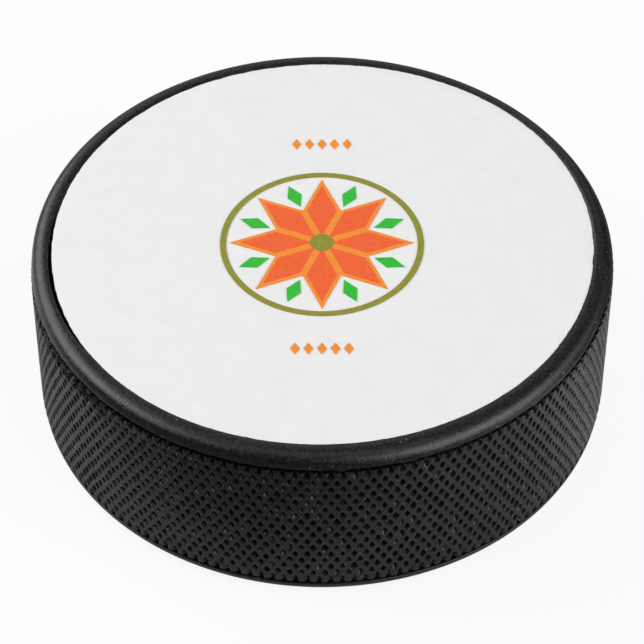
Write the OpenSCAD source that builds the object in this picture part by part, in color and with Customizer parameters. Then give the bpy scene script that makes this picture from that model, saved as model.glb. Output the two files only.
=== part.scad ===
// Hockey puck with a printed face.
// One disc of moulded rubber with a knurled side, and thin printed fields on its top face.
// The origin is the centre of the bottom face, Z is up and the print reads from -Y.

/* [Puck] */
// Diameter over the crests of the knurl
puck_d = 76.2; // [60:0.1:84]
// Height from the bottom face to the top of the rim
puck_h = 25.4; // [20:0.1:28]
// Radius of the rounded corner between a face and the side
corner_r = 1.7; // [0.8:0.05:1.9]

/* [Smooth bands and seams] */
// Height of the smooth band at each end of the side
band_h = 1.75; // [1.2:0.05:3]
// How far the smooth bands lie inside the crests of the knurl
band_inset = 0.15; // [0.05:0.05:0.3]
// Height of the seam between a smooth band and the knurl
seam_h = 0.5; // [0.3:0.05:1]
// Depth of the seam below the smooth band
seam_depth = 0.6; // [0.3:0.05:1]

/* [Knurl] */
// Width of one diamond, measured around the side
diamond_w = 1.49; // [1.4:0.01:4]
// Height of one diamond, measured up the side
diamond_h = 2.46; // [2.3:0.01:6]
// Depth of the pit in the middle of a diamond
pit_depth = 0.55; // [0.1:0.05:0.6]

/* [Face recess] */
// Width of the raised rim, from the crests of the knurl to the recess
rim_w = 2.55; // [2.25:0.05:5]
// Depth of the recess below the rim
recess_depth = 0.35; // [0.3:0.05:0.8]
// Radius of the rim's inner lip
lip_r = 0.1; // [0.05:0.05:0.2]

/* [White field] */
// Gap between the white field and the wall of the recess
field_gap = 0.2; // [0.1:0.05:5]
// Thickness of the white field
field_t = 0.2; // [0.1:0.05:0.25]

/* [Medallion] */
// Radius of the star, from its centre to a tip
star_r = 12; // [9:0.1:16]
// Number of points of the star
star_points = 8; // [6:1:12]
// Width of the line around each point
star_line = 0.9; // [0.3:0.05:1.2]
// Gap between the star's tips and the ring
ring_gap = 0.5; // [0.2:0.1:3]
// Width of the ring
ring_w = 0.8; // [0.3:0.1:3]
// Length of the diamonds between the star's points
notch_l = 4.2; // [2:0.1:5]
// Width of the diamonds between the star's points
notch_w = 2; // [1:0.1:2.4]
// Radius of the dot in the middle
dot_r = 1.6; // [0.5:0.1:2]
// Thickness of the coloured fields
ink_t = 0.1; // [0.05:0.05:0.15]

/* [Lozenge rows] */
// Number of lozenges in a row
row_count = 5; // [1:1:9]
// Distance from the middle of the face to a row
row_y = 19; // [17:0.5:28]
// Distance between lozenges
row_pitch = 1.7; // [1.4:0.1:3]
// Width of a lozenge
row_w = 1.2; // [0.5:0.1:1.3]
// Height of a lozenge
row_h = 2; // [0.5:0.1:3]

/* [Hidden] */

RUBBER = [0.13, 0.13, 0.14];
WHITE = [0.93, 0.93, 0.93];
ORANGE = [0.93, 0.36, 0.14];
AMBER = [0.94, 0.54, 0.14];
GREEN = [0.13, 0.75, 0.15];
OLIVE = [0.54, 0.55, 0.14];

$fn = 180;

crest_r = puck_d / 2;
band_r = crest_r - band_inset;
pit_r = crest_r - pit_depth;
neck_r = min(band_r - seam_depth, pit_r - 0.1);
recess_r = crest_r - rim_w;
recess_z = puck_h - recess_depth;

knurl_z = band_h + seam_h;
knurl_h = puck_h - 2 * knurl_z;
diamonds = round(PI * puck_d / diamond_w);
levels = round(2 * knurl_h / diamond_h);
level_h = knurl_h / levels;
columns = 2 * diamonds;

field_r = recess_r - field_gap;
ink_z = recess_z + field_t;

point_angle = 360 / star_points;
point_side = star_r / (2 * cos(point_angle / 2));
point_inradius = point_side * sin(point_angle) / 2;
point_scale = 1 - star_line / (2 * point_inradius);
ring_r = star_r + ring_gap;
notch_at = (point_side + ring_r) / 2;

// The side is a grid of levels and columns, where crests and pits take turns.
function grid_point(level, column) =
    let (
        r = (level + column) % 2 == 0 ? crest_r : pit_r,
        a = 360 * column / columns
    )
    [r * cos(a), r * sin(a), knurl_z + level * level_h];

function grid_index(level, column) = level * columns + (column + columns) % columns;

// The four sloping walls of one pit, or two of them where a pit opens into a seam.
function pit_walls(level, column) =
    let (
        pit = grid_index(level, column),
        left = grid_index(level, column - 1),
        right = grid_index(level, column + 1),
        above = grid_index(level + 1, column),
        below = grid_index(level - 1, column)
    )
    concat(
        level < levels ? [[pit, above, right], [pit, left, above]] : [],
        level > 0 ? [[pit, below, left], [pit, right, below]] : []
    );

// Everything but the knurl: two rounded ends, the neck behind the knurl and the recess.
module blank_section() {
    difference() {
        union() {
            square([band_r - corner_r, puck_h]);
            translate([0, corner_r])
                square([band_r, puck_h - 2 * corner_r]);
            for (z = [corner_r, puck_h - corner_r])
                translate([band_r - corner_r, z])
                    circle(corner_r);
        }
        translate([neck_r, band_h])
            square([crest_r, puck_h - 2 * band_h]);
        translate([0, recess_z])
            square([recess_r, puck_h]);
        translate([recess_r, puck_h - lip_r])
            lip_cut();
    }
}

// What the lip's rounding takes off the rim's inner corner.
module lip_cut() {
    difference() {
        square(lip_r);
        translate([lip_r, 0])
            circle(lip_r);
    }
}

// The knurled drum between the two seams.
module knurl() {
    bottom = (levels + 1) * columns;
    top = bottom + 1;
    points = concat(
        [for (level = [0:levels], column = [0:columns - 1]) grid_point(level, column)],
        [[0, 0, knurl_z], [0, 0, knurl_z + knurl_h]]
    );
    walls = [
        for (level = [0:levels], column = [0:columns - 1])
            if ((level + column) % 2 == 1)
                each pit_walls(level, column)
    ];
    bottom_cap = [
        for (column = [0:columns - 1])
            [bottom, grid_index(0, column), grid_index(0, column + 1)]
    ];
    top_cap = [
        for (column = [0:columns - 1])
            [top, grid_index(levels, column + 1), grid_index(levels, column)]
    ];
    polyhedron(points, concat(walls, bottom_cap, top_cap));
}

module puck_body() {
    color(RUBBER) {
        union() {
            rotate_extrude()
                blank_section();
            knurl();
        }
    }
}

module white_field() {
    color(WHITE)
        translate([0, 0, recess_z])
            cylinder(h = field_t, r = field_r);
}

// Lays a flat colour on the white field.
module ink() {
    translate([0, 0, ink_z])
        linear_extrude(ink_t)
            children();
}

// Repeats its children once for each point of the star, from an angle on.
module around(start) {
    for (i = [0:star_points - 1])
        rotate(start + i * point_angle)
            children();
}

// A diamond with its middle at the origin.
module diamond(l, w) {
    polygon([[l / 2, 0], [0, w / 2], [-l / 2, 0], [0, -w / 2]]);
}

// The star's outline, from tip to notch all the way round.
module star() {
    polygon([
        for (i = [0:star_points - 1], half = [0, 1])
            let (
                r = half == 0 ? star_r : point_side,
                a = 90 + (i + half / 2) * point_angle
            )
            [r * cos(a), r * sin(a)]
    ]);
}

// The diamonds inside the star's lines, one to each point.
module star_panes() {
    around(90)
        translate([star_r / 2, 0])
            diamond(point_scale * star_r, point_scale * 2 * point_side * sin(point_angle / 2));
}

module print_orange() {
    color(ORANGE)
        ink()
            difference() {
                star_panes();
                circle(dot_r);
            }
}

// Lines around the star's panes, and the two rows of lozenges.
module print_amber() {
    color(AMBER) {
        ink()
            difference() {
                star();
                star_panes();
                circle(dot_r);
            }
        ink()
            for (side = [-1, 1], i = [0:row_count - 1])
                translate([(i - (row_count - 1) / 2) * row_pitch, side * row_y])
                    diamond(row_w, row_h);
    }
}

module print_green() {
    color(GREEN)
        ink()
            around(90 + point_angle / 2)
                translate([notch_at, 0])
                    diamond(notch_l, notch_w);
}

module print_olive() {
    color(OLIVE)
        ink() {
            difference() {
                circle(ring_r + ring_w);
                circle(ring_r);
            }
            circle(dot_r);
        }
}

puck_body();
white_field();
print_orange();
print_amber();
print_green();
print_olive();
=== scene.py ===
"""Looks of a knurled ice hockey puck with a printed top face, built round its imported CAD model."""
import logging
import math
from dataclasses import dataclass, field
from enum import Enum
from typing import Any, Iterable

import bpy
import numpy as np
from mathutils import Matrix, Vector


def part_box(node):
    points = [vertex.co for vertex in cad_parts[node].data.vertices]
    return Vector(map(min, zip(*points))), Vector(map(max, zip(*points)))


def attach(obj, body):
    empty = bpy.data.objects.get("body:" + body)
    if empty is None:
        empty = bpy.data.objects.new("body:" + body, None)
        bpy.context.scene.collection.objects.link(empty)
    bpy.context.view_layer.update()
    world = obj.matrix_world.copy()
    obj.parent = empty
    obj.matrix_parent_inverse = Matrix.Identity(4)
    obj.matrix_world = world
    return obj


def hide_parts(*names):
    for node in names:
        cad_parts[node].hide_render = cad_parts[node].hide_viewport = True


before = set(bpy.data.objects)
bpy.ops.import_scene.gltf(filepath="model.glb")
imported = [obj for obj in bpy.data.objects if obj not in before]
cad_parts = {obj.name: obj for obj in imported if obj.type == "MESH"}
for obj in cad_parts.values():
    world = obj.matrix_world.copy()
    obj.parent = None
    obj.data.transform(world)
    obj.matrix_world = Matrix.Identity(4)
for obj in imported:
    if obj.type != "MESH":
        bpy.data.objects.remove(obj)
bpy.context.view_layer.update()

log = logging.getLogger("puck")

MM = 0.001
SEED = 7
# Most values of a noise texture lie between these two.
NOISE_SPAN = (0.3, 0.7)
Profile = list[tuple[float, float]]
Faces = list[tuple[int, ...]]


# Colour, nodes and meshes

def srgb(hex_code: str) -> tuple[float, float, float, float]:
    """Turns an sRGB colour into the linear one that the shader needs.

    Args:
        hex_code: The colour as six hex digits after a #.

    Returns:
        Linear red, green and blue, and an alpha of 1.
    """
    channels = [int(hex_code[i:i + 2], 16) / 255 for i in (1, 3, 5)]
    linear = [c / 12.92 if c <= 0.04045 else ((c + 0.055) / 1.055) ** 2.4 for c in channels]
    return (linear[0], linear[1], linear[2], 1.0)


def add_node(tree: bpy.types.NodeTree, kind: str, inputs: dict[Any, Any] | None = None,
             **settings: Any) -> bpy.types.Node:
    """Adds one node with its settings, values and links.

    Args:
        tree: The node tree that takes the node.
        kind: Blender's name of the node type.
        inputs: For each input, by name or place, its value or the output that feeds it.
        **settings: Attributes of the node itself.

    Returns:
        The new node.
    """
    node = tree.nodes.new(kind)
    for name, value in settings.items():
        setattr(node, name, value)
    for key, value in (inputs or {}).items():
        if isinstance(value, bpy.types.NodeSocket):
            tree.links.new(value, node.inputs[key])
        else:
            node.inputs[key].default_value = value
    return node


def set_ramp(ramp: bpy.types.Node, stops: Iterable[tuple[float, tuple]]) -> None:
    """Gives a colour ramp its stops.

    Args:
        ramp: The colour ramp node.
        stops: Place and linear colour of each stop, from low to high.
    """
    elements = ramp.color_ramp.elements
    for i, (place, colour) in enumerate(stops):
        stop = elements[i] if i < len(elements) else elements.new(place)
        stop.position = place
        stop.color = colour


def new_material(name: str) -> tuple[bpy.types.Material, bpy.types.NodeTree, bpy.types.Node]:
    """Starts a material with nothing in its tree but an output.

    Args:
        name: The material's name.

    Returns:
        The material, its node tree and its output node.
    """
    material = bpy.data.materials.new(name)
    material.use_nodes = True
    material.node_tree.nodes.clear()
    return material, material.node_tree, material.node_tree.nodes.new("ShaderNodeOutputMaterial")


def add_noise(tree: bpy.types.NodeTree, place: bpy.types.NodeSocket, size_mm: float, detail: float = 2.0,
              roughness: float = 0.5) -> bpy.types.Node:
    """Adds a noise texture.

    Args:
        tree: The node tree that takes it.
        place: Where its coordinates come from.
        size_mm: Size of its blobs.
        detail: How many finer layers it has.
        roughness: How strong the finer layers are.

    Returns:
        The texture node.
    """
    return add_node(tree, "ShaderNodeTexNoise", {
        "Vector": place, "Scale": 1 / (size_mm * MM), "Detail": detail, "Roughness": roughness})


def add_tones(tree: bpy.types.NodeTree, texture: bpy.types.Node, low: tuple[float, str],
              high: tuple[float, str]) -> bpy.types.Node:
    """Colours a texture by a ramp between two shades.

    Args:
        tree: The node tree that takes the ramp.
        texture: The noise to colour.
        low: Value up to which the first shade lasts, and that shade as hex.
        high: Value from which the second shade lasts, and that shade as hex.

    Returns:
        The ramp node.
    """
    ramp = add_node(tree, "ShaderNodeValToRGB", {"Fac": texture.outputs["Fac"]})
    set_ramp(ramp, [(at, srgb(shade)) for at, shade in (low, high)])
    return ramp


def add_range(tree: bpy.types.NodeTree, value: bpy.types.NodeSocket, given: tuple[float, float],
              wanted: tuple[float, float] = (0.0, 1.0)) -> bpy.types.NodeSocket:
    """Maps one span of values to another, and holds at both ends.

    Args:
        tree: The node tree that takes the node.
        value: Where the value comes from.
        given: The span that is mapped.
        wanted: What its two ends become.

    Returns:
        Where the new value comes out.
    """
    node = add_node(tree, "ShaderNodeMapRange", {
        "Value": value, "From Min": given[0], "From Max": given[1],
        "To Min": wanted[0], "To Max": wanted[1]})
    return node.outputs["Result"]


def make_piece(name: str, vertices: np.ndarray, faces: Faces,
               crease_deg: float = 35.0) -> bpy.types.Object:
    """Makes a smooth mesh object at the origin.

    Args:
        name: The piece's name.
        vertices: One row for each vertex, in metres.
        faces: Vertex numbers of each face, counter-clockwise from outside.
        crease_deg: Edges that turn more than this stay sharp.

    Returns:
        The object, linked to the scene.
    """
    mesh = bpy.data.meshes.new(name)
    mesh.from_pydata(vertices.tolist(), [], faces)
    mesh.validate()
    mesh.shade_smooth()
    mesh.set_sharp_from_angle(angle=math.radians(crease_deg))
    piece = bpy.data.objects.new(name, mesh)
    bpy.context.scene.collection.objects.link(piece)
    return piece


def arc(centre: tuple[float, float], radius: float, start_deg: float, end_deg: float,
        steps: int) -> Profile:
    """Points along an arc of a half-section.

    Args:
        centre: The arc's centre as radius from the axis and height.
        radius: The arc's own radius.
        start_deg: Angle of the first point, from the outward direction up.
        end_deg: Angle of the last point.
        steps: Number of pieces that the arc is cut into.

    Returns:
        The points, both ends included.
    """
    angles = [math.radians(start_deg + (end_deg - start_deg) * i / steps) for i in range(steps + 1)]
    return [(centre[0] + radius * math.cos(a), centre[1] + radius * math.sin(a)) for a in angles]


def turned(angles: np.ndarray, at_deg: float) -> np.ndarray:
    """Angles as turned from one place round the puck, from minus half a turn to half a turn."""
    return (angles - math.radians(at_deg) + math.pi) % (2 * math.pi) - math.pi


def near(angles: np.ndarray, at_deg: float, half_deg: float) -> np.ndarray:
    """Soft mask for one place round the puck.

    Args:
        angles: Angles about the axis.
        at_deg: Angle of the place.
        half_deg: How far the mask reaches to each side.

    Returns:
        One at the place, falling smoothly to nothing away from it.
    """
    return np.exp(-(turned(angles, at_deg) / math.radians(half_deg)) ** 2)


def rags(angles: np.ndarray, counts: Iterable[int], rng: np.random.Generator) -> np.ndarray:
    """Sum of several waves that run round the puck.

    Args:
        angles: Angles about the axis.
        counts: How often each wave rises and falls in one turn.
        rng: Draws where each wave starts.

    Returns:
        The sum at each angle, each wave being one high.
    """
    return sum(np.sin(count * angles + rng.uniform(0, 2 * math.pi)) for count in counts)


def ring(radius: np.ndarray | float, height: np.ndarray | float, angles: np.ndarray) -> np.ndarray:
    """Vertices round the axis, one row for each angle."""
    return np.stack(np.broadcast_arrays(radius * np.cos(angles), radius * np.sin(angles), height), axis=1)


def ring_faces(rings: int, segments: int) -> Faces:
    """Quads between closed rings that follow each other in a list of vertices.

    Args:
        rings: Number of rings.
        segments: Vertices in each ring.

    Returns:
        The faces, outward when the rings run up the outside.
    """
    faces = []
    for low in range(0, (rings - 1) * segments, segments):
        high = low + segments
        for i in range(segments):
            j = (i + 1) % segments
            faces.append((low + i, low + j, high + j, high + i))
    return faces


def capped_shell(rings: list[np.ndarray], bottom: float, top: float) -> tuple[np.ndarray, Faces]:
    """Closes a stack of rings with a point on the axis at each end.

    Args:
        rings: Vertices of each ring, in millimetres, from the bottom up the outside and in again.
        bottom: Height of the point that closes the first ring.
        top: Height of the point that closes the last ring.

    Returns:
        The vertices in metres, and the faces, outward.
    """
    segments = len(rings[0])
    vertices = np.concatenate(rings + [np.array([[0, 0, bottom], [0, 0, top]])]) * MM
    faces = ring_faces(len(rings), segments)
    bottom_cap, top_cap = len(vertices) - 2, len(vertices) - 1
    last = (len(rings) - 1) * segments
    for i in range(segments):
        j = (i + 1) % segments
        faces.append((bottom_cap, j, i))
        faces.append((top_cap, last + i, last + j))
    return vertices, faces


# Finishes

@dataclass(frozen=True)
class Skin:
    """The surface of a finish, whose sheen and relief both follow one fine texture."""

    roughness: float
    # How far the roughness swings in all, around the value above.
    swing: float
    ior: float
    # Height of the relief.
    height_mm: float

    def build(self, tree: bpy.types.NodeTree, colour: bpy.types.NodeSocket, texture: bpy.types.Node,
              output: bpy.types.Node) -> None:
        """Ends a material with its shader.

        Args:
            tree: The material's node tree.
            colour: Where the base colour comes from.
            texture: The fine texture.
            output: The material's output node.
        """
        fac = texture.outputs["Fac"]
        sheen = add_range(tree, fac, NOISE_SPAN,
                          (self.roughness - self.swing / 2, self.roughness + self.swing / 2))
        relief = add_node(tree, "ShaderNodeBump", {
            "Height": fac, "Strength": 1.0, "Distance": self.height_mm * MM})
        shader = add_node(tree, "ShaderNodeBsdfPrincipled", {
            "Base Color": colour, "Roughness": sheen, "IOR": self.ior, "Normal": relief.outputs["Normal"]})
        tree.links.new(shader.outputs["BSDF"], output.inputs["Surface"])


@dataclass(frozen=True)
class MouldedRubber:
    """Vulcanised natural rubber, compression moulded and filled with carbon black.

    The mould leaves a satin skin: broad soft highlights on the rounded rim, a fine grain, and pale
    flecks of filler and dust that sit on the black. The flecks are also pale enough to stand in for
    small glints, so they are partly painted highlights.
    """

    name: str = "vulcanised_rubber_moulded"
    black: str = "#09090A"
    grey: str = "#202021"
    # Colour of the flecks, pale enough to be partly painted glints as well as filler and dust.
    dust_fleck_and_glint: str = "#747471"
    skin: Skin = Skin(roughness=0.32, swing=0.16, ior=1.52, height_mm=0.05)
    grain_mm: float = 0.38
    grain_span: tuple[float, float] = (0.47, 0.66)
    bloom_mm: float = 5.0
    bloom_span: tuple[float, float] = (0.35, 0.75)
    bloom_most: float = 0.35
    fleck_mm: float = 1.1
    fleck_crumple_mm: float = 0.5
    fleck_span: tuple[float, float] = (0.04, 0.15)
    flecked_from: float = 0.62

    def build(self) -> bpy.types.Material:
        """Makes the material.

        Returns:
            The rubber, with its grain, bloom and flecks.
        """
        material, tree, output = new_material(self.name)
        place = add_node(tree, "ShaderNodeTexCoord").outputs["Object"]
        # Filler grain: black with grey grains about a third of a millimetre across.
        grain = add_noise(tree, place, self.grain_mm, detail=3.0, roughness=0.6)
        tone = add_tones(tree, grain, (self.grain_span[0], self.black), (self.grain_span[1], self.grey))
        # Bloom: the skin is a little greyer in soft patches.
        bloom = add_noise(tree, place, self.bloom_mm)
        bloom_share = add_range(tree, bloom.outputs["Fac"], self.bloom_span, (0.0, self.bloom_most))
        clouded = add_node(tree, "ShaderNodeMix", {
            "Factor": bloom_share, "A": tone.outputs["Color"], "B": srgb(self.grey)}, data_type="RGBA")
        # Flecks of filler and dust, pale enough to be partly painted glints: a pale crumb in the middle of
        # some cells, with an uneven outline.
        crumple = add_node(tree, "ShaderNodeVectorMath", {
            0: grain.outputs["Color"], "Scale": self.fleck_crumple_mm * MM}, operation="SCALE")
        spread = add_node(tree, "ShaderNodeVectorMath", {0: place, 1: crumple.outputs["Vector"]},
                          operation="ADD")
        cells = add_node(tree, "ShaderNodeTexVoronoi", {
            "Vector": spread.outputs["Vector"], "Scale": 1 / (self.fleck_mm * MM)})
        dot = add_range(tree, cells.outputs["Distance"], self.fleck_span, (1.0, 0.0))
        chosen = add_node(tree, "ShaderNodeMath", {0: cells.outputs["Color"], 1: self.flecked_from},
                          operation="GREATER_THAN")
        fleck_share = add_node(tree, "ShaderNodeMath", {0: dot, 1: chosen.outputs[0]}, operation="MULTIPLY")
        flecked = add_node(tree, "ShaderNodeMix", {
            "Factor": fleck_share.outputs[0], "A": clouded.outputs["Result"], "B": srgb(self.dust_fleck_and_glint)},
            data_type="RGBA")
        self.skin.build(tree, flecked.outputs["Result"], grain, output)
        return material


class InkColour(Enum):
    """The ink colours on the white coat, each as its full shade and a thinner one."""

    ORANGE = ("#EE5D25", "#F26A33")
    AMBER = ("#F08A24", "#F39A3C")
    GREEN = ("#22B52C", "#35C33B")
    OLIVE = ("#888726", "#979637")


@dataclass(frozen=True)
class WhiteCoat:
    """White acrylic ink, flood printed and lamp cured.

    It dries to an even matt white with the faintest cloudiness and a fine tooth.
    """

    name: str = "acrylic_ink_flood_printed"
    white: str = "#ECECEC"
    shade: str = "#E9E9E9"
    skin: Skin = Skin(roughness=0.6, swing=0.1, ior=1.49, height_mm=0.004)
    cloud_mm: float = 3.0
    cloud_span: tuple[float, float] = (0.35, 0.62)
    tooth_mm: float = 0.25

    def build(self) -> bpy.types.Material:
        """Makes the material.

        Returns:
            The white coat, with its clouds and tooth.
        """
        material, tree, output = new_material(self.name)
        place = add_node(tree, "ShaderNodeTexCoord").outputs["Object"]
        cloud = add_noise(tree, place, self.cloud_mm, detail=4.0, roughness=0.6)
        tone = add_tones(tree, cloud, (self.cloud_span[0], self.shade), (self.cloud_span[1], self.white))
        tooth = add_noise(tree, place, self.tooth_mm)
        self.skin.build(tree, tone.outputs["Color"], tooth, output)
        return material


@dataclass(frozen=True)
class PrintedInk:
    """Coloured acrylic ink, jet printed on the white coat and lamp cured.

    The fine droplets leave a faint mottle of thinner colour and a soft sheen.
    """

    colour: InkColour
    skin: Skin = Skin(roughness=0.5, swing=0.08, ior=1.49, height_mm=0.003)
    mottle_mm: float = 0.5
    mottle_span: tuple[float, float] = (0.4, 0.75)

    def build(self) -> bpy.types.Material:
        """Makes the material.

        Returns:
            The ink, with its droplet mottle.
        """
        full, thin = self.colour.value
        material, tree, output = new_material("acrylic_ink_jet_printed_" + self.colour.name.lower())
        place = add_node(tree, "ShaderNodeTexCoord").outputs["Object"]
        mottle = add_noise(tree, place, self.mottle_mm, detail=4.0, roughness=0.65)
        tone = add_tones(tree, mottle, (self.mottle_span[0], full), (self.mottle_span[1], thin))
        self.skin.build(tree, tone.outputs["Color"], mottle, output)
        return material


@dataclass(frozen=True)
class SweepPaper:
    """Matt white background paper, laid flat.

    The camera sees it as bright as white paper behind a product, with a trace of the puck's shadow.
    The rubber mirrors a greyer copy of it with painted light and shade, which stands in for how the
    floor round the puck is lit.
    """

    # The material also holds the painted light and shade that the rubber mirrors.
    name: str = "background_paper_matt_painted_shade"
    seen: str = "#F4F4F4"
    # Painted light and shade on the sheet that the rubber mirrors: greys at distances in millimetres
    # along one heading, standing in for how the floor round the puck is lit.
    mirrored_painted_shade: tuple[tuple[float, str], ...] = (
        (-52, "#6C6C6C"), (-40, "#BEBEBE"), (-20, "#CECECE"),
        (-11, "#D0D0D0"), (2, "#FFFFFF"), (60, "#747474"))
    # Heading along which the painted light and shade changes.
    painted_shade_toward_deg: float = 68.0
    reach_mm: float = 100.0
    shadow_share: float = 0.12
    shadow_fades_mm: tuple[float, float] = (120.0, 400.0)

    def build(self) -> bpy.types.Material:
        """Makes the material.

        Returns:
            The paper, glowing white to the camera alone.
        """
        material, tree, output = new_material(self.name)
        paper = add_node(tree, "ShaderNodeBsdfDiffuse", {"Color": srgb(self.seen)})
        glow = add_node(tree, "ShaderNodeEmission", {"Color": srgb("#FFFFFF"), "Strength": 1.0})
        # The shadow fades out round the puck, so that a low view shows no horizon.
        place = add_node(tree, "ShaderNodeTexCoord").outputs["Object"]
        away = add_node(tree, "ShaderNodeVectorMath", {0: place}, operation="LENGTH")
        fades_from, fades_to = self.shadow_fades_mm
        shadow = add_range(tree, away.outputs["Value"], (fades_from * MM, fades_to * MM),
                           (self.shadow_share, 0.0))
        seen = add_node(tree, "ShaderNodeMixShader", {
            "Fac": shadow, 1: glow.outputs["Emission"], 2: paper.outputs["BSDF"]})
        # Painted light and shade: the rubber mirrors a sheet that is brightest at its sides, and greyer to
        # the front and the back, standing in for the floor's light and shade round the puck.
        heading = math.radians(self.painted_shade_toward_deg)
        along = add_node(tree, "ShaderNodeVectorMath", {
            0: place, 1: (math.cos(heading), math.sin(heading), 0.0)}, operation="DOT_PRODUCT")
        share = add_range(tree, along.outputs["Value"], (-self.reach_mm * MM, self.reach_mm * MM))
        tone = add_node(tree, "ShaderNodeValToRGB", {"Fac": share})
        stops = [((self.reach_mm + at) / (2 * self.reach_mm), srgb(shade)) for at, shade in self.mirrored_painted_shade]
        set_ramp(tone, stops)
        # A diffuse copy of the paper in the painted greys, which every ray but the camera's sees.
        mirrored_painted_shade = add_node(tree, "ShaderNodeBsdfDiffuse", {"Color": tone.outputs["Color"]})
        ray = add_node(tree, "ShaderNodeLightPath")
        surface = add_node(tree, "ShaderNodeMixShader", {
            "Fac": ray.outputs["Is Camera Ray"], 1: mirrored_painted_shade.outputs["BSDF"], 2: seen.outputs["Shader"]})
        tree.links.new(surface.outputs["Shader"], output.inputs["Surface"])
        return material


# Pieces

@dataclass(frozen=True)
class PrintOutline:
    """Outline of the white coat, which was printed a little off centre and oval, with a ragged edge.

    Off-centre printing leaves bare rubber between the coat and the recess on one side.
    """

    radius: float
    # Of each wave: how often it goes round, its height in millimetres and where it is highest.
    waves: tuple[tuple[int, float, float], ...] = (
        (1, 0.26, 68), (2, 0.19, 41), (3, 0.06, 25), (4, 0.06, 42))
    # Rags: the height of each of their waves, and how often each goes round.
    rag_mm: float = 0.01125
    rag_waves: tuple[int, ...] = (17, 31, 57, 83, 131, 199)
    # Nicks: their depth at most, their number, half their width and their depth at least, as a share.
    nick_mm: float = 0.1
    nick_count: int = 26
    nick_half_mm: tuple[float, float] = (0.2, 0.7)
    nick_least: float = 0.3
    # The strip of bare rubber: its full width, and where it lies.
    bare_mm: float = 0.5
    bare_at_deg: float = 192.0
    bare_half_deg: float = 22.5

    def smooth(self, angles: np.ndarray) -> np.ndarray:
        """Radius of the outline without its rags.

        Args:
            angles: Angles about the puck's axis.

        Returns:
            The radius at each angle, in millimetres.
        """
        edge = np.full_like(angles, self.radius)
        for count, height, at_deg in self.waves:
            edge += height * np.cos(count * (angles - math.radians(at_deg)))
        return edge

    def ragged(self, angles: np.ndarray) -> np.ndarray:
        """Radius of the outline with its rags and nicks.

        Args:
            angles: Angles about the puck's axis.

        Returns:
            The radius at each angle, in millimetres.
        """
        rng = np.random.default_rng(SEED + 2)
        edge = self.smooth(angles) + self.rag_mm * rags(angles, self.rag_waves, rng)
        for place in rng.uniform(0, 2 * math.pi, self.nick_count):
            half_deg = math.degrees(rng.uniform(*self.nick_half_mm) / self.radius)
            depth = rng.uniform(self.nick_least, 1) * self.nick_mm
            edge -= depth * near(angles, math.degrees(place), half_deg)
        return edge

    def bare_share(self, angles: np.ndarray) -> np.ndarray:
        """Share of the bare strip's full width, at each angle."""
        off = turned(angles, self.bare_at_deg) / math.radians(self.bare_half_deg)
        return np.sqrt(np.clip(1 - off ** 2, 0, 1))


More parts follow.
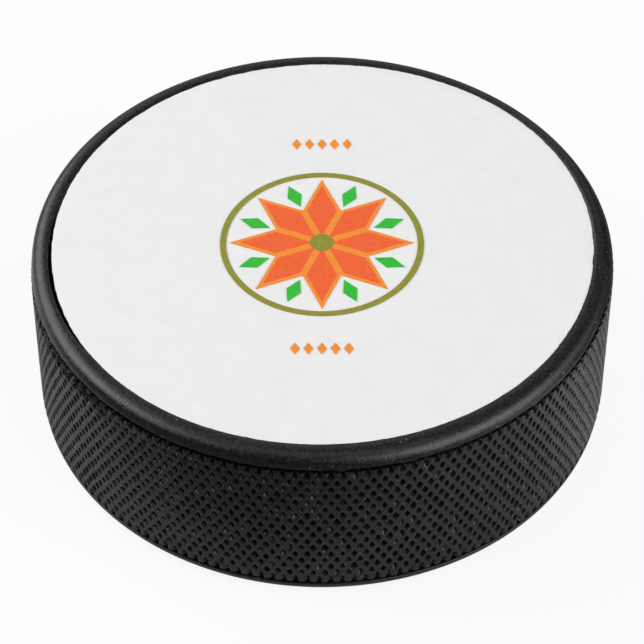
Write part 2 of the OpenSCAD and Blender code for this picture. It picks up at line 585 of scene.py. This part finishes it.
@dataclass
class Blank:
    """The moulded blank without its knurl: two rounded ends, the neck behind the knurl and the recess.

    Its overall size comes from the CAD node, and the rest is given in millimetres.
    """

    rubber: bpy.types.Material
    outline: PrintOutline
    node: str = "puck_body"
    corner_r: float = 1.7
    corner_end_deg: float = -4.0
    corner_steps: int = 12
    band_h: float = 1.75
    band_inset: float = 0.15
    seam_h: float = 0.5
    seam_depth: float = 1.0
    seam_edge_r: float = 0.12
    seam_edge_steps: int = 3
    recess_depth: float = 0.35
    # The lip: how far it drops, its width, and where it bends, as shares of its width and drop.
    lip_drop: float = 0.13
    lip_w: float = 0.4
    lip_bend: tuple[float, float] = (0.3, 0.12)
    # Radius that the inner edge of the rim's crest keeps at least.
    crest_in_r: float = 35.9
    # Width of each slope at the lip's foot, and the room that is kept between forms.
    foot_mm: float = 0.06
    clear_mm: float = 0.02
    # The groove along bare rubber: its depth, and where it is deepest, as a share of the strip's width.
    groove_depth: float = 1.0
    groove_at: float = 1 / 3
    segments: int = 720
    # The upper seam's edge: rags all round, sags here and there, and one place that is untidy.
    rag_mm: float = 0.05 / 3
    rag_waves: tuple[int, ...] = (9, 23, 41, 67, 113)
    sag_mm: float = 0.28
    sag_least: float = 0.4
    sag_most_share: float = 0.9
    sag_width_mm: float = 0.55
    sag_count: int = 14
    first_sag_deg: float = -86.5
    sag_reach_mm: float = 0.9
    untidy: float = 1.0
    untidy_at_deg: float = -152.0
    untidy_half_deg: float = 17.0
    # Of each opening of the seam: where it is, how far it reaches to each side and how wide it gapes.
    seam_openings: tuple[tuple[float, float, float], ...] = ((-20, 9, 0.52), (-141, 16, 0.15))
    seam_lean_mm: float = 0.33
    crest_r: float = field(init=False)
    height: float = field(init=False)

    def __post_init__(self) -> None:
        """Takes the overall size from the frame."""
        low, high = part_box(self.node)
        self.crest_r = (high[0] - low[0]) / 2 / MM
        self.height = (high[2] - low[2]) / MM

    @property
    def band_r(self) -> float:
        """Radius of the smooth bands."""
        return self.crest_r - self.band_inset

    @property
    def neck_r(self) -> float:
        """Radius at the bottom of the seams."""
        return self.band_r - self.seam_depth

    @property
    def knurl_z(self) -> float:
        """Height at which the knurl starts."""
        return self.band_h + self.seam_h

    def end_profile(self) -> Profile:
        """The outside of one end, from the flat face out and up to the neck.

        Returns:
            Points as radius and height, measured from the face.
        """
        corner_centre = (self.band_r - self.corner_r, self.corner_r)
        corner = arc(corner_centre, self.corner_r, -90, self.corner_end_deg, self.corner_steps)
        edge_centre = (self.band_r - self.seam_edge_r, self.band_h - self.seam_edge_r)
        edge = arc(edge_centre, self.seam_edge_r, 0, 90, self.seam_edge_steps)
        return corner + edge + [(self.neck_r, self.band_h)]

    def outside(self) -> Profile:
        """The outside, from the middle of the bottom face up to the outer edge of the rim's crest.

        Returns:
            Points as radius and height.
        """
        bottom = self.end_profile()
        top = [(r, self.height - z) for r, z in reversed(bottom)]
        return [(self.band_r / 2, 0.0)] + bottom + top

    def recess_rings(self, angles: np.ndarray) -> list[np.ndarray]:
        """The recess, whose lip slopes down to the edge of the print.

        Where the print leaves rubber bare, a dark groove shows along the foot of the lip.

        Args:
            angles: Angle of each vertex of a ring.

        Returns:
            Vertices of each ring, from the crest inward.
        """
        bare = self.outline.bare_share(angles)
        bare_w = self.outline.bare_mm * bare
        foot = self.outline.smooth(angles) + self.clear_mm + bare_w
        crest = np.clip(foot + self.lip_w, self.crest_in_r, self.band_r - self.corner_r - self.clear_mm)
        bend_in, bend_down = self.lip_bend
        top, floor = self.height, self.height - self.recess_depth
        section = [
            (crest, top),
            (crest - bend_in * (crest - foot), top - bend_down * self.lip_drop),
            (foot, top - self.lip_drop),
            (foot - self.foot_mm - self.groove_at * bare_w, floor - self.groove_depth * bare),
            (foot - 2 * self.foot_mm - bare_w, floor),
            (self.outline.radius / 2, floor),
        ]
        return [ring(r, z, angles) for r, z in section]

    def seam_sag(self, angles: np.ndarray) -> np.ndarray:
        """How far the upper band's edge hangs into the seam, as moulding flash does here and there.

        Args:
            angles: Angle of each vertex of a ring.

        Returns:
            The drop at each angle, in millimetres.
        """
        rng = np.random.default_rng(SEED)
        drop = self.rag_mm * rags(angles, self.rag_waves, rng)
        drop *= 1 + self.untidy * near(angles, self.untidy_at_deg, self.untidy_half_deg)
        places = np.append(rng.uniform(0, 360, self.sag_count), self.first_sag_deg)
        depths = self.sag_mm * np.append(rng.uniform(self.sag_least, 1.0, self.sag_count), 1.0)
        for place, depth in zip(places, depths):
            drop += depth * near(angles, place, math.degrees(self.sag_width_mm / self.band_r))
        drop = np.minimum(drop, self.seam_h * self.sag_most_share)
        return drop - self.gape(angles) - self.seam_lean_mm * np.cos(angles)

    def sag_share(self, r: float, z: float) -> float:
        """Share of the edge's sag that one point of the outside takes.

        Args:
            r: Radius of the point.
            z: Its height.

        Returns:
            One at the upper band's edge, falling to nothing up the band, and nothing in the seam and below.
        """
        above = z - self.height + self.band_h
        if r < self.neck_r + self.clear_mm or above < -self.clear_mm:
            return 0.0
        return max(0.0, 1 - above / self.sag_reach_mm)

    def gape(self, angles: np.ndarray) -> np.ndarray:
        """How much wider the upper seam gapes at each angle, in millimetres."""
        return sum(width * near(angles, at_deg, half_deg) for at_deg, half_deg, width in self.seam_openings)

    def build(self) -> bpy.types.Object:
        """Revolves the section and roughens the upper seam's edge.

        Returns:
            The blank, riding on the part's body.
        """
        angles = np.linspace(0, 2 * math.pi, self.segments, endpoint=False)
        sag = self.seam_sag(angles)
        rings = [ring(r, z - sag * self.sag_share(r, z), angles) for r, z in self.outside()]
        rings += self.recess_rings(angles)
        vertices, faces = capped_shell(rings, 0.0, self.height - self.recess_depth)
        piece = make_piece("puck_blank", vertices, faces)
        piece.data.materials.append(self.rubber)
        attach(piece, "root")
        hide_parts(self.node)
        return piece


@dataclass
class RidgeLattice:
    """Mesh lines of the knurl, which run along its ridges, so that each diamond is a square patch.

    Places are given in pitches, as u across the ridges that lean one way and v across the others. Each
    array has a row for every mesh line round the drum, and in it a value for every mesh line up the drum.
    """

    diamonds: int
    levels: int
    steps: tuple[float, ...]
    end_lines: int = 2
    rows: int = field(init=False)
    columns: int = field(init=False)
    pit_u: np.ndarray = field(init=False)
    pit_v: np.ndarray = field(init=False)
    line_u: np.ndarray = field(init=False)
    line_v: np.ndarray = field(init=False)

    def __post_init__(self) -> None:
        """Numbers the pits, and the mesh lines within each of them."""
        n = len(self.steps)
        # The last rows of pits lie half a row inside the drum's ends, where a few more mesh lines fit.
        self.rows, self.columns = (self.levels - 1) * n + 2 * self.end_lines, self.diamonds * n
        # v runs round the drum, and u less v runs up it, so rows climb at a fixed column.
        j, k = np.meshgrid(np.arange(self.columns), np.arange(self.rows + 1), indexing="ij")
        self.pit_u, self.line_u = np.divmod(j + k - self.end_lines, n)
        self.pit_v, self.line_v = np.divmod(j, n)

    @property
    def grid(self) -> tuple[int, int]:
        """Size of a table with an entry for each pit, and a spare level at each end."""
        return self.diamonds, self.levels + 2

    @property
    def own(self) -> tuple[np.ndarray, np.ndarray]:
        """Where in such a table each vertex finds the pit that it belongs to."""
        return self.pit_v % self.diamonds, self.pit_u - self.pit_v + 1

    @property
    def in_pit(self) -> np.ndarray:
        """Whether each vertex lies off the middle of every ridge."""
        return (self.line_u > 0) & (self.line_v > 0)

    @property
    def at_crossing(self) -> np.ndarray:
        """Whether each vertex lies where two ridges cross."""
        return (self.line_u == 0) & (self.line_v == 0)

    @property
    def at_corner(self) -> np.ndarray:
        """Whether each vertex is a corner of a pit's edge or of its floor."""
        outer = (1, len(self.steps) - 1)
        return self.in_pit & (np.isin(self.line_u, outer) == np.isin(self.line_v, outer))

    @property
    def in_whole_pit(self) -> np.ndarray:
        """Whether each vertex lies in a pit whose middle is on the drum."""
        level = self.pit_u - self.pit_v
        return self.in_pit & (level >= 0) & (level < self.levels)

    @property
    def from_ridge(self) -> np.ndarray:
        """Number of mesh lines from each vertex to the middle of the nearest ridge."""
        n = len(self.steps)
        return np.minimum.reduce([self.line_u, n - self.line_u, self.line_v, n - self.line_v])

    def places(self, reach: np.ndarray, moved: list[np.ndarray]) -> tuple[np.ndarray, np.ndarray]:
        """Where the vertices lie when the pits differ in size and place.

        Args:
            reach: How far each vertex lies from the middle of its pit, as a share of the usual distance.
            moved: How far each vertex is moved, along u and along v.

        Returns:
            The place of each vertex, as u and as v.
        """
        steps = np.array(self.steps)
        u = self.pit_u + 0.5 + (steps[self.line_u] - 0.5) * reach + moved[0]
        v = self.pit_v + 0.5 + (steps[self.line_v] - 0.5) * reach + moved[1]
        return u, v

    def faces(self) -> Faces:
        """Patches along the ridges, the ends' sloping walls and an inner wall that lies inside the neck.

        Returns:
            The faces, outward, where the inner edges of both end walls follow the drum's own vertices.
        """
        step = self.rows + 1
        bottom_wall = self.columns * step
        top_wall = bottom_wall + self.columns
        faces = []
        for j in range(self.columns):
            nxt = (j + 1) % self.columns
            here, there = j * step, nxt * step
            faces.append((here, there, here + 1))
            for k in range(1, self.rows):
                faces.append((here + k, there + k - 1, there + k, here + k + 1))
            faces.append((here + self.rows, there + self.rows - 1, there + self.rows))
            faces.append((bottom_wall + j, bottom_wall + nxt, there, here))
            faces.append((top_wall + j, here + self.rows, there + self.rows, top_wall + nxt))
            faces.append((bottom_wall + nxt, bottom_wall + j, top_wall + j, top_wall + nxt))
        return faces


@dataclass
class KnurlBand:
    """The diamond knurl round the side: crossing flat-topped ridges with a pit in each diamond.

    Each diamond has its own shoulders, walls and floor, and no two moulded pits are quite alike.
    """

    rubber: bpy.types.Material
    blank: Blank
    diamond_w: float = 1.49
    diamond_h: float = 2.46
    pit_depth: float = 0.85
    # Half the width of a ridge, and where a pit's floor starts, in pitches from the ridge's middle.
    ridge_half: float = 0.19
    floor_from: float = 0.32
    shoulder_drop: float = 0.05
    corner_pull: float = 0.1
    # How far the inner wall lies behind the neck's surface.
    buried_mm: float = 0.1
    # How far a ridge and a pit's shoulder sink at the drum's ends, and how the end walls slope.
    end_drop: float = 0.05
    funnel_depth: float = 0.4
    end_slope_mm: float = 0.5
    end_slope_by_gape: float = 2.5
    end_slope_at_pits: float = 0.4
    # Where the pits are faint, and where the ridges have rough ends.
    faint_share: float = 0.7
    faint_at_deg: float = -8.0
    faint_half_deg: float = 26.0
    rough_end_mm: float = 0.35
    rough_end_levels: int = 2
    # How the pits differ in depth and size, as shares, and in place, in pitches.
    depth_spread: float = 0.2
    depth_limits: tuple[float, float] = (0.5, 1.15)
    shallow_share: float = 0.03
    shallow_depth: float = 0.3
    size_spread: float = 0.09
    shift_spread: float = 0.02
    # How uneven the surface is, with the ridges' crossings apart, and how many pits have crisp edges.
    uneven_mm: float = 0.012
    crossing_mm: float = 0.03
    crisp_share: float = 0.97

    def lattice(self) -> RidgeLattice:
        """Sets out the mesh lines: the ridges' middles and shoulders, and the edges of the pits' floors.

        Returns:
            The lattice, with as many diamonds as best fit the drum.
        """
        diamonds = round(2 * math.pi * self.blank.crest_r / self.diamond_w)
        levels = round(2 * (self.blank.height - 2 * self.blank.knurl_z) / self.diamond_h)
        steps = (0.0, self.ridge_half, self.floor_from, 1 - self.floor_from, 1 - self.ridge_half)
        return RidgeLattice(diamonds, levels, steps)

    def build(self) -> bpy.types.Object:
        """Lays the ridges' lattice round the drum and sinks a pit in each diamond.

        Returns:
            The knurled band, riding on the part's body.
        """
        lattice = self.lattice()
        rng = np.random.default_rng(SEED + 1)
        # Each pit has its own depth, size and place.
        depths = np.clip(rng.normal(1, self.depth_spread, lattice.grid), *self.depth_limits)
        depths[rng.random(lattice.grid) < self.shallow_share] = self.shallow_depth
        sizes = rng.normal(1, self.size_spread, lattice.grid)
        shifts = rng.normal(0, self.shift_spread, (2,) + lattice.grid)
        reach = np.where(lattice.in_pit, sizes[lattice.own], 1)
        reach = reach * np.where(lattice.at_corner, 1 - self.corner_pull, 1)
        moved = [lattice.in_pit * shift[lattice.own] for shift in shifts]
        u, v = lattice.places(reach, moved)
        level = np.clip(u - v + 0.5, 0, lattice.levels)
        level[:, 0], level[:, -1] = 0, lattice.levels
        angle = math.pi * (u + v) / lattice.diamonds
        # The upper seam isn't quite level, and the rows of pits close up or spread to follow it.
        drum_h = self.blank.height - 2 * self.blank.knurl_z + self.blank.seam_lean_mm * np.cos(angle)
        height = self.blank.knurl_z + drum_h * level / lattice.levels
        radius = self.surface(lattice, angle, level, depths[lattice.own], rng)
        drum = ring(radius.ravel(), height.ravel(), angle.ravel())
        vertices = np.concatenate([drum] + self.end_rings(lattice, angle, height)) * MM
        piece = make_piece("puck_knurl", vertices, lattice.faces(), crease_deg=180.0)
        self.sharpen(piece.data, lattice, rng)
        piece.data.materials.append(self.rubber)
        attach(piece, "root")
        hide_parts(self.blank.node)
        return piece

    def surface(self, lattice: RidgeLattice, angle: np.ndarray, level: np.ndarray, depths: np.ndarray,
                rng: np.random.Generator) -> np.ndarray:
        """Ridges and pits of the drum.

        Args:
            lattice: The mesh lines.
            angle: Angle of each vertex about the axis.
            level: Level of each vertex, from 0 at the drum's bottom.
            depths: Depth of each vertex's pit, as a share of the usual depth.
            rng: Draws how uneven the surface is.

        Returns:
            The radius at each vertex, in millimetres.
        """
        shoulder, floor = lattice.from_ridge > 0, lattice.from_ridge > 1
        # Where the upper seam is untidy, the ends of the ridges below it are rough as well.
        untidy = near(angle, self.blank.untidy_at_deg, self.blank.untidy_half_deg)
        rough_end = untidy * np.clip(level - lattice.levels + self.rough_end_levels, 0, 1)
        spread = np.where(lattice.at_crossing, self.crossing_mm, self.uneven_mm)
        uneven = np.abs(rng.normal(0, spread + self.rough_end_mm * rough_end))
        # The mould filled less well on one side, where the pits are faint.
        full = 1 - self.faint_share * near(angle, self.faint_at_deg, self.faint_half_deg)
        sunk = self.shoulder_drop * shoulder + self.pit_depth * full * depths * floor
        # The shoulder between a last pit and the seam sinks, so that the pit opens into the seam.
        end_sunk = np.where(lattice.in_whole_pit, self.funnel_depth * full, self.end_drop)
        sunk[:, (0, -1)] += end_sunk[:, (0, -1)]
        return np.maximum(self.blank.crest_r - sunk - uneven, self.blank.neck_r + self.blank.clear_mm)

    def end_rings(self, lattice: RidgeLattice, angle: np.ndarray, height: np.ndarray) -> list[np.ndarray]:
        """Inner edges of the end walls, which slope so that the seams stay black when seen from above.

        Args:
            lattice: The mesh lines.
            angle: Angle of each vertex of the drum.
            height: Height of each vertex of the drum, in millimetres.

        Returns:
            Vertices of the lower edge and of the upper one.
        """
        at_pits = np.where(lattice.in_whole_pit, self.end_slope_at_pits, 1.0)
        rings = []
        for end, way in ((0, 1), (-1, -1)):
            a = angle[:, end]
            slope = (self.end_slope_mm + self.end_slope_by_gape * self.blank.gape(a)) * at_pits[:, end]
            rings.append(ring(self.blank.neck_r - self.buried_mm, height[:, end] + way * slope, a))
        return rings

    def sharpen(self, mesh: bpy.types.Mesh, lattice: RidgeLattice, rng: np.random.Generator) -> None:
        """Keeps the edges of the pits and of the drum's ends sharp.

        Args:
            mesh: The band's mesh.
            lattice: The mesh lines.
            rng: Draws which pits have a softer edge, which catches the light.
        """
        line = lattice.from_ridge
        soft = rng.random(lattice.grid) > self.crisp_share
        line[(line == 1) & soft[lattice.own]] = 0
        line[:, (0, -1)] = -1
        line = np.append(line, np.full(2 * lattice.columns, -1))
        ends = np.empty(2 * len(mesh.edges), dtype=np.int32)
        mesh.edges.foreach_get("vertices", ends)
        # An edge is sharp when it runs along one line other than the soft ones, which are 0.
        first, second = line[ends.reshape(-1, 2)].T
        mesh.edges.foreach_set("use_edge_sharp", (first == second) & (first != 0))


@dataclass
class PrintedFace:
    """The print in the recess: the white coat, whose edge wavers a little, and the ink fields on it."""

    coat: bpy.types.Material
    outline: PrintOutline
    node: str = "white_field"
    edge_r: float = 0.04
    edge_steps: int = 2
    inner_rings: tuple[float, ...] = (0.98, 0.8, 0.5, 0.2)
    segments: int = 1080

    def build_coat(self) -> bpy.types.Object:
        """Makes the white coat, a thin disc with a soft, slightly ragged edge.

        Returns:
            The coat, riding on the part's body.
        """
        low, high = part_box(self.node)
        bottom, top = low[2] / MM, high[2] / MM
        angles = np.linspace(0, 2 * math.pi, self.segments, endpoint=False)
        edge = self.outline.ragged(angles)
        rim = [(0.0, bottom)] + arc((-self.edge_r, top - self.edge_r), self.edge_r, 0, 90, self.edge_steps)
        rings = [ring(edge + inset, z, angles) for inset, z in rim]
        rings += [ring(self.outline.radius * share, top, angles) for share in self.inner_rings]
        vertices, faces = capped_shell(rings, bottom, top)
        piece = make_piece("white_coat", vertices, faces)
        piece.data.materials.append(self.coat)
        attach(piece, "root")
        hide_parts(self.node)
        return piece

    def ink_fields(self) -> list[bpy.types.Object]:
        """Gives each printed CAD node its ink.

        Returns:
            The dressed nodes.
        """
        dressed = []
        for colour in InkColour:
            field_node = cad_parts["print_" + colour.name.lower()]
            ink = PrintedInk(colour).build()
            for material_slot in field_node.material_slots:
                material_slot.material = ink
            dressed.append(field_node)
        return dressed


# Studio

@dataclass(frozen=True)
class Softbox:
    """One soft lamp, aimed at the puck. Azimuth 0 is to the right of the camera and 90 behind the puck."""

    name: str
    azimuth_deg: float
    elevation_deg: float
    width_mm: float
    height_mm: float
    radiance: float
    distance_mm: float = 700.0

    def build(self, target: Vector) -> bpy.types.Object:
        """Places the lamp.

        Args:
            target: The point that the lamp faces.

        Returns:
            The lamp.
        """
        az, el = math.radians(self.azimuth_deg), math.radians(self.elevation_deg)
        away = Vector((math.cos(el) * math.cos(az), math.cos(el) * math.sin(az), math.sin(el)))
        data = bpy.data.lights.new(self.name, "AREA")
        data.shape = "RECTANGLE"
        data.size = self.width_mm * MM
        data.size_y = self.height_mm * MM
        # A flat lamp gives off pi times its radiance from each square metre.
        data.energy = math.pi * self.radiance * data.size * data.size_y
        lamp = bpy.data.objects.new(self.name, data)
        lamp.location = target + away * self.distance_mm * MM
        lamp.rotation_euler = away.to_track_quat("Z", "Y").to_euler()
        bpy.context.scene.collection.objects.link(lamp)
        return lamp


@dataclass
class Studio:
    """Floor, lamps, surroundings and the camera at the photograph's viewing angle."""

    photo_px: int = 644
    focal_px: float = 2868.8
    sensor_mm: float = 36.0
    camera_elevation_deg: float = 46.0
    camera_distance_mm: float = 384.85
    aim_height_mm: float = 10.41
    clip_from_mm: float = 10.0
    floor_mm: float = 4000.0
    world_level: float = 0.06
    softboxes: tuple[Softbox, ...] = (
        Softbox("softbox_back_left", 150, 33, 800, 540, 2.75),
        Softbox("softbox_left", 190, 42, 480, 480, 1.85),
        Softbox("softbox_front_right", -35, 30, 680, 320, 2.2),
        Softbox("scrim_front_right", -35, 32, 740, 800, 1.4),
        Softbox("card_right", 12, 30, 350, 450, 0.85),
        Softbox("card_behind", 90, 22, 700, 500, 0.45),
        Softbox("scrim_above", 0, 88, 500, 500, 0.55),
    )

    @property
    def aim(self) -> Vector:
        """The point on the puck's axis that the camera looks at."""
        return Vector((0, 0, self.aim_height_mm * MM))

    def build_floor(self) -> None:
        """Lays the background paper under the puck."""
        half = self.floor_mm / 2 * MM
        corners = np.array([[-half, -half, 0], [half, -half, 0], [half, half, 0], [-half, half, 0]])
        floor = make_piece("floor", corners, [(0, 1, 2, 3)])
        floor.data.materials.append(SweepPaper().build())

    def build_world(self) -> None:
        """Dim grey surroundings that the camera sees as white."""
        world = bpy.data.worlds.new("studio")
        bpy.context.scene.world = world
        world.use_nodes = True
        tree = world.node_tree
        tree.nodes.clear()
        room, white = [
            add_node(tree, "ShaderNodeBackground", {"Color": srgb("#FFFFFF"), "Strength": level})
            for level in (self.world_level, 1.0)]
        ray = add_node(tree, "ShaderNodeLightPath")
        seen = add_node(tree, "ShaderNodeMixShader", {
            "Fac": ray.outputs["Is Camera Ray"],
            1: room.outputs["Background"], 2: white.outputs["Background"]})
        add_node(tree, "ShaderNodeOutputWorld", {"Surface": seen.outputs["Shader"]})

    def build_camera(self) -> None:
        """Puts the camera where the photograph was taken from."""
        data = bpy.data.cameras.new("camera")
        data.sensor_width = self.sensor_mm
        data.lens = self.focal_px / self.photo_px * self.sensor_mm
        data.clip_start = self.clip_from_mm * MM
        camera = bpy.data.objects.new("camera", data)
        el = math.radians(self.camera_elevation_deg)
        away = Vector((0, -math.cos(el), math.sin(el)))
        camera.location = self.aim + away * self.camera_distance_mm * MM
        camera.rotation_euler = away.to_track_quat("Z", "Y").to_euler()
        bpy.context.scene.collection.objects.link(camera)
        bpy.context.scene.camera = camera

    def build(self) -> None:
        """Sets up everything round the puck."""
        bpy.context.scene.view_settings.view_transform = "Standard"
        self.build_floor()
        self.build_world()
        for softbox in self.softboxes:
            softbox.build(self.aim)
        self.build_camera()


def report(piece: bpy.types.Object) -> None:
    """Logs one piece.

    Args:
        piece: The finished object.
    """
    triangles = sum(len(p.vertices) - 2 for p in piece.data.polygons)
    log.info("%s: %d triangles, %s", piece.name, triangles, piece.material_slots[0].material.name)


def main() -> None:
    """Builds the puck's pieces and the studio."""
    logging.basicConfig(level=logging.INFO, format="%(name)s: %(message)s")
    rubber = MouldedRubber().build()
    low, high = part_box("white_field")
    outline = PrintOutline((high[0] - low[0]) / 2 / MM)
    blank = Blank(rubber, outline)
    report(blank.build())
    report(KnurlBand(rubber, blank).build())
    face = PrintedFace(WhiteCoat().build(), outline)
    report(face.build_coat())
    for ink_field in face.ink_fields():
        report(ink_field)
    Studio().build()


if __name__ == "__main__":
    main()
